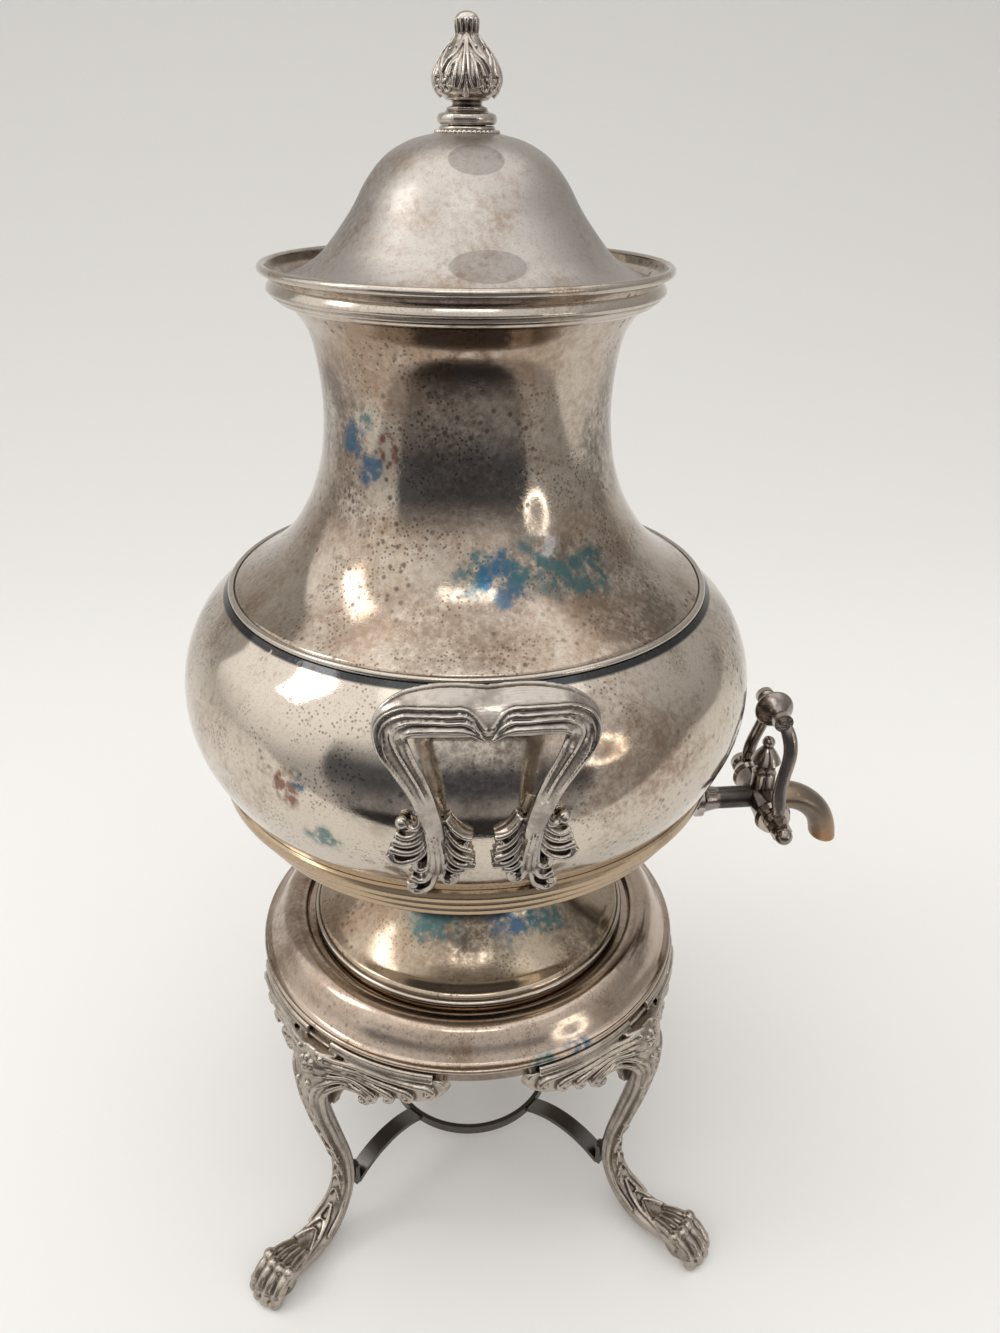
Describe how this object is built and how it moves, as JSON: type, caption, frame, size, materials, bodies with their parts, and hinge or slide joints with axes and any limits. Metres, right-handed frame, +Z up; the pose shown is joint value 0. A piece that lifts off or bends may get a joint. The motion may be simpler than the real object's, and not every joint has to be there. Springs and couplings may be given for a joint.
{
  "type": "samovar",
  "caption": "Plated hot-water urn with a bulbous bowl, domed lift-off lid, loop handles and a lever tap, on a footed burner stand.",
  "frame": {"origin": "on the urn's vertical axis, at the table top under the paws", "axes": "+Z up; +X towards the tap; the loop handles lie on +Y and -Y; the legs stand at 45 degrees between the axes"},
  "size_m": [0.3014, 0.2838, 0.5158],
  "materials": {
    "silver_plate": "silver plate over brass sheet, polished long ago and tarnished grey with fine scratches",
    "aged_plate": "silver plate worn thin, warm brown-grey tarnish, satin",
    "bared_bronze": "plate worn away on the beads, bronze showing",
    "bared_copper": "plate worn away, copper colour, dull",
    "dark_metal": "dark grey tarnished plate, satin"
  },
  "bodies": {
    "stand": {"stand_top": "aged_plate", "stand_rim_bead": "aged_plate", "leg_1": "aged_plate", "leg_2": "aged_plate", "leg_3": "aged_plate", "leg_4": "aged_plate", "burner_strut_1": "dark_metal", "burner_strut_2": "dark_metal", "burner_strut_3": "dark_metal", "burner_strut_4": "dark_metal", "strut_screws": "dark_metal", "burner_ring": "dark_metal"},
    "urn": {"pedestal": "aged_plate", "pedestal_bead": "aged_plate", "bowl": "silver_plate", "bowl_moulding": "bared_bronze", "neck": "silver_plate", "shoulder_bead": "silver_plate", "rim_bead": "silver_plate", "rim_moulding": "silver_plate", "handle_right": "silver_plate", "handle_left": "silver_plate", "tap_shield": "dark_metal", "tap_body": "dark_metal", "tap_spout": "bared_copper", "tap_cap": "dark_metal"},
    "lever": {"tap_plug": "dark_metal", "tap_arm_front": "dark_metal", "tap_arm_rear": "dark_metal", "tap_grip": "dark_metal", "grip_rod": "dark_metal", "tap_washer": "dark_metal", "tap_nut": "dark_metal", "tap_ball_nut": "dark_metal"},
    "lid": {"lid_shell": "silver_plate", "lid_sleeve": "silver_plate", "finial_base": "silver_plate", "finial": "silver_plate", "finial_washer": "silver_plate", "finial_nut": "silver_plate"}
  },
  "joints": [
    {"name": "urn_lift", "type": "slide", "parent": "stand", "child": "urn", "axis": [0, 0, 1], "range_m": [0, 0.15]},
    {"name": "lid_lift", "type": "slide", "parent": "urn", "child": "lid", "axis": [0, 0, 1], "range_m": [0, 0.12]},
    {"name": "tap_lever", "type": "hinge", "parent": "urn", "child": "lever", "pos_m": [0.142, 0, 0.197], "axis": [0, 1, 0], "range_deg": [0, 90]}
  ]
}
